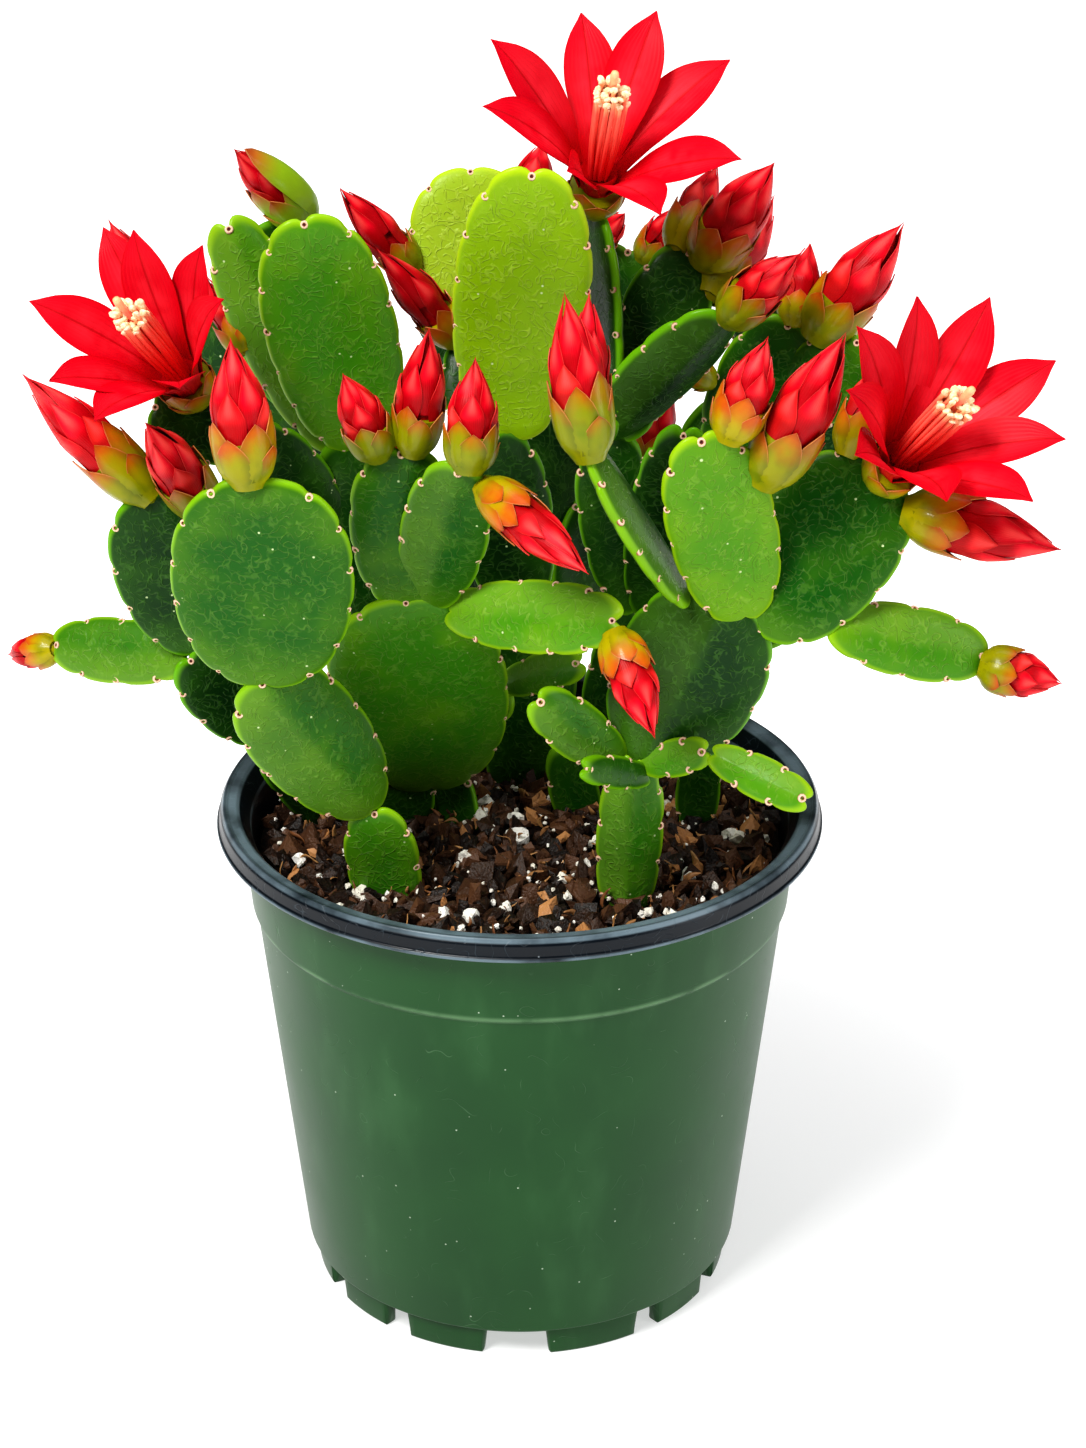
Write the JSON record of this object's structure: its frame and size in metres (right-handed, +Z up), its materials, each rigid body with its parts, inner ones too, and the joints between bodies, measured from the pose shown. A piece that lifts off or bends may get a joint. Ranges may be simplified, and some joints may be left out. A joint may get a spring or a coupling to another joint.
{
  "type": "potted easter cactus",
  "caption": "Easter cactus with flat jointed pads, red buds and open star flowers, growing in a green nursery pot with a dark rim.",
  "frame": {"origin": "centre of the pot's foot on the surface it stands on, under the middle of the whole plant", "axes": "+Z up along the pot's axis, +X to the right and -Y to the front, the side that the flowers face"},
  "size_m": [0.221, 0.1389, 0.2825],
  "materials": {
    "pot_green": "satin green thermoformed plastic with fine specks and scratches",
    "pot_dark": "satin blue-black plastic",
    "potting_mix": "damp dark bark chips with white perlite",
    "pad_skin": "waxy satin green pads with paler edges",
    "bud_red": "satin red tepals",
    "petal_red": "silky red petals with fine veins",
    "stamen_cream": "matt cream anthers on salmon filaments"
  },
  "bodies": {
    "root": {"pot_body": "pot_green", "pot_liner": "pot_dark", "soil": "potting_mix", "stem_front_left": "pad_skin", "stem_left": "pad_skin", "stem_center": "pad_skin", "stem_low": "pad_skin", "stem_right": "pad_skin", "stem_short": "pad_skin", "stem_young": "pad_skin", "stem_tall_left": "pad_skin", "stem_tall_center": "pad_skin", "stem_tall_right": "pad_skin", "stem_back_left": "pad_skin", "stem_back_center": "pad_skin", "stem_back_right": "pad_skin", "bud_01": "bud_red", "bud_02": "bud_red", "bud_03": "bud_red", "bud_04": "bud_red", "bud_05": "bud_red", "bud_06": "bud_red", "bud_07": "bud_red", "bud_08": "bud_red", "bud_09": "bud_red", "bud_10": "bud_red", "bud_11": "bud_red", "bud_12": "bud_red", "bud_13": "bud_red", "bud_14": "bud_red", "bud_15": "bud_red", "bud_16": "bud_red", "bud_17": "bud_red", "bud_18": "bud_red", "bud_19": "bud_red", "bud_20": "bud_red", "bud_21": "bud_red", "bud_22": "bud_red", "bud_23": "bud_red", "bud_24": "bud_red", "bud_25": "bud_red", "bud_26": "bud_red", "bud_27": "bud_red", "bud_28": "bud_red", "bud_29": "bud_red", "bud_30": "bud_red", "bud_31": "bud_red", "bud_32": "bud_red", "bud_33": "bud_red", "bud_34": "bud_red", "bud_35": "bud_red", "flower_top_petals": "petal_red", "flower_left_petals": "petal_red", "flower_right_petals": "petal_red", "flower_top_stamens": "stamen_cream", "flower_left_stamens": "stamen_cream", "flower_right_stamens": "stamen_cream"}
  },
  "joints": []
}
